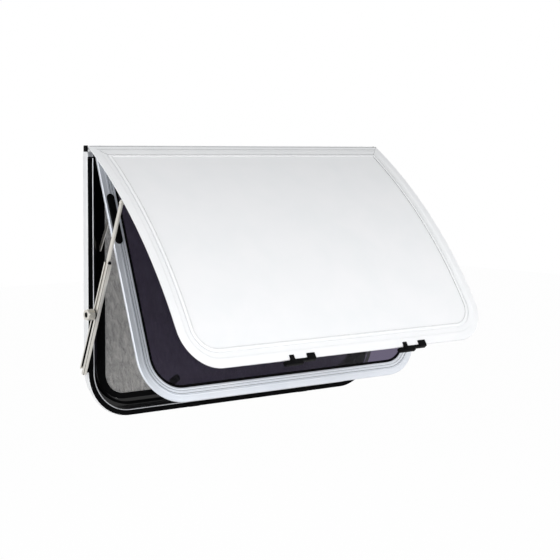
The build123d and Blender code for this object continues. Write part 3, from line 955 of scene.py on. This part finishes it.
@dataclass
class CoverLines(RailLines):
    """Lines on the bowed cover: round its rail, along its head and in its two mitres."""

    body: str = "cover"
    hinge_out: float = 19.0 * MM
    hinge_up: float = 589.0 * MM
    swing: float = COVER_OPEN
    width: float = 865.0 * MM
    length: float = 596.3 * MM
    bow: float = 39.0 * MM
    top_out: float = 9.8 * MM
    top_rise: float = 12.0 * MM
    bottom_out: float = 4.8 * MM
    taper: float = 5.5 * MM
    corner: float = 88.0 * MM
    rail: float = 40.0 * MM
    side_steps: int = 24
    ridge: Line = Line(34.0 * MM, 39.9 * MM, 1.0 * MM, 0.4, 0.4)
    edge: Line = Line(1.5 * MM, 20.5 * MM, 1.2 * MM, 0.78, 0.2)
    joint: Line = Line(40.0 * MM, 40.2 * MM, -0.6 * MM, 0.1, 0.1)
    mitre_seam: Line = Line(-0.15 * MM, 0.15 * MM, 0.2 * MM, 0.1, 0.1)
    # Dark strips across the head rail are painted shadow of its extrusion steps.
    head_shade_lines: tuple[Line, ...] = (
        Line(1.6 * MM, 2.4 * MM, 0.2 * MM, 0.1, 0.1),
        Line(12.7 * MM, 13.1 * MM, 0.2 * MM, 0.1, 0.1),
        Line(32.7 * MM, 33.0 * MM, 0.2 * MM, 0.1, 0.1),
    )

    def skin(self, x: float, up: float, over: float) -> Vector:
        """Place a point over the bowed skin.

        Args:
            x: Distance along the hinge.
            up: Height over the hinge, along the leaf.
            over: Height over the skin.

        Returns:
            The point.
        """
        fall = self.top_out - self.bottom_out
        lean = math.atan2(fall, self.length)
        radius = (math.hypot(fall, self.length) ** 2 / 4 + self.bow**2) / (2 * self.bow)
        centre_out = (self.top_out + self.bottom_out) / 2 - (radius - self.bow) * math.cos(lean)
        centre_up = self.top_rise - self.length / 2 + (radius - self.bow) * math.sin(lean)
        height = math.sqrt((radius + over) ** 2 - (up - centre_up) ** 2)
        return self.point(x, up, centre_out + height)

    def rim(self, inset: float, over: float) -> list[Vector]:
        """Follow the cover's outline down, round its lower corners and up, moved inward.

        Args:
            inset: Distance inward from the outline.
            over: Height over the skin.

        Returns:
            Points from the left rail's head to the right rail's.
        """
        top, bottom = self.top_rise - inset, self.top_rise - self.length + inset
        radius = self.corner - inset
        bend = bottom + radius
        lean = self.taper / (top - bottom)
        foot = self.width / 2 - inset - lean * radius
        flat = []
        for step in range(self.side_steps):
            up = top + (bend - top) * step / self.side_steps
            flat.append((foot - lean * (up - bend), up))
        for step in range(self.arc_steps + 1):
            angle = math.radians(90.0 * step / self.arc_steps)
            flat.append((foot - radius + radius * math.cos(angle), bend - radius * math.sin(angle)))
        left = [self.skin(-x, up, over) for x, up in flat]
        return left + [self.skin(x, up, over) for x, up in reversed(flat)]

    def head(self, inset: float, over: float) -> list[Vector]:
        """Cross the head from mitre to mitre.

        Args:
            inset: Distance inward from the outline.
            over: Height over the skin.

        Returns:
            Both end points.
        """
        reach = self.width / 2 - self.taper - inset
        return [self.skin(x, self.top_rise - inset, over) for x in (-reach, reach)]

    def mitre(self, side: Side, offset: float, over: float) -> list[Vector]:
        """Follow one mitre, at 45 degrees, from the outline to the rail's inner edge.

        Args:
            side: The end of the window.
            offset: Distance across the mitre.
            over: Height over the skin.

        Returns:
            Points from the outline inward.
        """
        points = []
        aside = offset * math.sqrt(0.5)
        for step in range(self.side_steps + 1):
            drop = self.rail * step / self.side_steps
            x = side.value * (self.width / 2 - self.taper - drop)
            points.append(self.skin(x + aside, self.top_rise - drop - side.value * aside, over))
        return points

    def build(self) -> None:
        """Lay every ridge, the rim's joint, the mitre seams and the head's dark strips of painted
        shadow.
        """
        for part, path in (("rim", self.rim), ("head", self.head)):
            self.lay(f"cover_{part}_ridge", Slot.PAINT, path, self.ridge)
        self.lay("cover_rim_edge", Slot.PAINT, self.rim, self.edge)
        self.lay("cover_rim_joint", Slot.RUBBER, self.rim, self.joint)
        for number, seam in enumerate(self.head_shade_lines, 1):
            self.lay(f"cover_head_seam_{number}", Slot.RUBBER, self.head, seam)
        for side in Side:
            path = partial(self.mitre, side)
            self.lay(f"{side.word}_mitre_seam", Slot.RUBBER, path, self.mitre_seam)


@dataclass
class Fittings:
    """Moulded fittings with soft edges: latches, catches and the blocks that end the seal."""

    maker: Maker
    latch_edge: float = 1.1 * MM
    latch_steps: int = 3
    latch_turn: float = math.radians(26.0)
    small_edge: float = 0.5 * MM
    block_width: float = 13.0 * MM
    block_height: float = 9.5 * MM
    block_thickness: float = 3.5 * MM
    lip_height: float = 2.6 * MM
    seal_gap: float = 0.2 * MM
    lip_gap: float = 0.1 * MM
    margin: float = 1.0 * MM
    flange: float = 8.0 * MM

    def block(self, name: str, slot: Slot, low: Vector, high: Vector) -> bpy.types.Object:
        """Set one small block with rounded edges on the flange.

        Args:
            name: The piece's name.
            slot: The slot whose finish it takes.
            low: Its lowest corner.
            high: Its highest corner.

        Returns:
            The block's piece.
        """
        work = bmesh.new()
        add_block(work, (low + high) / 2, high - low)
        round_edges(work, work.edges[:], self.small_edge)
        return self.maker.piece(name, work, "frame", slot)

    def seal_end(self, side: Side) -> None:
        """Close the seal's upper end with a dark lip and a bright block over it.

        Args:
            side: The end of the window.
        """
        edge = abs(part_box("outer_frame")[0].x) - self.margin
        ends = sorted(side.value * x for x in (edge, edge - self.block_width))
        lip_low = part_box("cover_seal")[1].z + self.seal_gap
        block_low = lip_low + self.lip_height
        front, back = -self.flange - self.block_thickness, -self.flange
        for name, slot, low, high in (
            ("lip", Slot.PLASTIC, lip_low, block_low - self.lip_gap),
            ("block", Slot.BRIGHT, block_low, block_low + self.block_height),
        ):
            self.block(f"{side.word}_seal_{name}", slot, Vector((ends[0], front, low)),
                       Vector((ends[1], back, high)))

    def sash_latch(self) -> bpy.types.Object:
        """Turn the sash's inside latch to its open stand.

        Returns:
            The latch's piece.
        """
        work = bmesh.new()
        work.from_mesh(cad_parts["sash_latch"].data)
        out_way = Vector((0.0, -math.cos(SASH_OPEN), math.sin(SASH_OPEN)))
        bmesh.ops.rotate(work, cent=sum(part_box("sash_latch"), Vector()) / 2, verts=work.verts[:],
                         matrix=Matrix.Rotation(self.latch_turn, 3, out_way))
        return self.maker.piece("sash_latch_turned", work, "sash", Slot.PLASTIC, "sash_latch")

    def build(self) -> None:
        """Build the fittings of both sides."""
        self.sash_latch()
        for side in Side:
            self.maker.softened(f"{side.word}_latch", "cover", Slot.PLASTIC, self.latch_edge,
                                self.latch_steps)
            self.maker.softened(f"{side.word}_catch", "frame", Slot.PLASTIC, self.small_edge)
            self.seal_end(side)


@dataclass(frozen=True)
class Lamp:
    """A square soft lamp: where it hangs, its side in metres and its power in watts."""

    name: str
    place: Triple
    size: float
    power: float


@dataclass
class Studio:
    """A pale floor under the window, soft lamps from the front, left and rear, and the camera."""

    eye: Triple = (-2.03033, -2.70004, 0.58625)
    yaw: float = 0.674
    pitch: float = math.radians(2.5)
    lens: float = 90.529
    sensor: float = 36.0
    shift: float = -0.115
    sight: float = 100.0
    floor_drop: float = 0.95
    floor_size: float = 24.0
    paper: Colour = (0.86, 0.86, 0.86)
    glow_share: float = 0.985
    white: Colour = (1.0, 1.0, 1.0)
    ambient: float = 0.22
    ambient_tint: Colour = (0.94, 0.97, 1.0)
    aim: Triple = (0.0, -0.1, 0.33)
    lamps: tuple[Lamp, ...] = (
        Lamp("front_lamp", (0.35, -3.5, 1.0), 2.2, 85.0),
        Lamp("left_lamp", (-3.1, -1.2, 0.75), 2.0, 60.0),
        Lamp("rear_lamp", (1.2, 2.6, 1.6), 2.4, 40.0),
    )

    @staticmethod
    def shader(tree: bpy.types.NodeTree, kind: str, colour: Colour) -> bpy.types.Node:
        """Add a shader of one colour.

        Args:
            tree: The node tree.
            kind: The shader's type.
            colour: Its colour.

        Returns:
            The shader's node.
        """
        node = tree.nodes.new(kind)
        node.inputs["Color"].default_value = (*colour, 1.0)
        return node

    @staticmethod
    def split(tree: bpy.types.NodeTree, rest: bpy.types.Node, sight: bpy.types.Node,
              share: float, output: bpy.types.Node) -> None:
        """Show one shader to sight, reflections and glass, and another to all other rays.

        Args:
            tree: The node tree.
            rest: Shader for the other rays.
            sight: Shader for the rays that see.
            share: Share of the sight shader in what they see.
            output: The tree's output.
        """
        path = tree.nodes.new("ShaderNodeLightPath")
        seen = path.outputs["Is Camera Ray"]
        for ray in ("Is Glossy Ray", "Is Transmission Ray"):
            either = tree.nodes.new("ShaderNodeMath")
            either.operation = "MAXIMUM"
            tree.links.new(seen, either.inputs[0])
            tree.links.new(path.outputs[ray], either.inputs[1])
            seen = either.outputs[0]
        part = tree.nodes.new("ShaderNodeMath")
        part.operation = "MULTIPLY"
        part.inputs[1].default_value = share
        mix = tree.nodes.new("ShaderNodeMixShader")
        tree.links.new(seen, part.inputs[0])
        for number, node in enumerate((part, rest, sight)):
            tree.links.new(node.outputs[0], mix.inputs[number])
        tree.links.new(mix.outputs[0], output.inputs["Surface"])

    def world(self) -> None:
        """Give a white surround to sight and reflections, and a soft level light to the rest."""
        world = bpy.data.worlds.new("studio_world")
        bpy.context.scene.world = world
        world.use_nodes = True
        tree = world.node_tree
        tree.nodes.clear()
        soft = self.shader(tree, "ShaderNodeBackground", self.ambient_tint)
        soft.inputs["Strength"].default_value = self.ambient
        white = self.shader(tree, "ShaderNodeBackground", self.white)
        self.split(tree, soft, white, 1.0, tree.nodes.new("ShaderNodeOutputWorld"))

    def floor(self) -> bpy.types.Object:
        """Lay the floor well under the window.

        Returns:
            The floor.
        """
        work = bmesh.new()
        bmesh.ops.create_grid(work, x_segments=1, y_segments=1, size=self.floor_size / 2,
                              matrix=Matrix.Translation((0.0, 0.0, -self.floor_drop)))
        mesh = bpy.data.meshes.new("floor")
        work.to_mesh(mesh)
        work.free()
        floor = bpy.data.objects.new("floor", mesh)
        bpy.context.scene.collection.objects.link(floor)
        material = bpy.data.materials.new("floor_paper")
        material.use_nodes = True
        tree = material.node_tree
        tree.nodes.clear()
        paper = self.shader(tree, "ShaderNodeBsdfDiffuse", self.paper)
        glow = self.shader(tree, "ShaderNodeEmission", self.white)
        output = tree.nodes.new("ShaderNodeOutputMaterial")
        self.split(tree, paper, glow, self.glow_share, output)
        mesh.materials.append(material)
        return floor

    def hang(self, lamp: Lamp) -> None:
        """Hang one soft lamp that faces the window.

        Args:
            lamp: The lamp.
        """
        light = bpy.data.lights.new(lamp.name, "AREA")
        light.shape = "SQUARE"
        light.size = lamp.size
        light.energy = lamp.power
        hung = bpy.data.objects.new(lamp.name, light)
        hung.location = lamp.place
        way = Vector(self.aim) - Vector(lamp.place)
        hung.rotation_euler = way.to_track_quat("-Z", "Y").to_euler()
        bpy.context.scene.collection.objects.link(hung)

    def camera(self) -> None:
        """Stand the camera at the photograph's angle."""
        data = bpy.data.cameras.new("camera")
        data.lens = self.lens
        data.shift_y = self.shift
        data.sensor_width = self.sensor
        data.clip_end = self.sight
        camera = bpy.data.objects.new("camera", data)
        camera.location = self.eye
        camera.rotation_euler = (math.radians(90.0) - self.pitch, 0.0, -self.yaw)
        bpy.context.scene.collection.objects.link(camera)
        bpy.context.scene.camera = camera

    def build(self) -> None:
        """Set up the surround, floor, lamps and camera."""
        bpy.context.scene.view_settings.view_transform = "Standard"
        self.world()
        self.floor()
        for lamp in self.lamps:
            self.hang(lamp)
        self.camera()


def main() -> None:
    """Build and dress the window."""
    logging.basicConfig(level=logging.INFO, format="%(name)s: %(message)s")
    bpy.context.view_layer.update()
    wardrobe = Wardrobe()
    wardrobe.dress_nodes()
    maker = Maker(wardrobe)
    FlyMesh(maker).build()
    Stays(maker).build()
    SashLines(maker).build()
    CoverLines(maker).build()
    Fittings(maker).build()
    Studio().build()


if __name__ == "__main__":
    main()
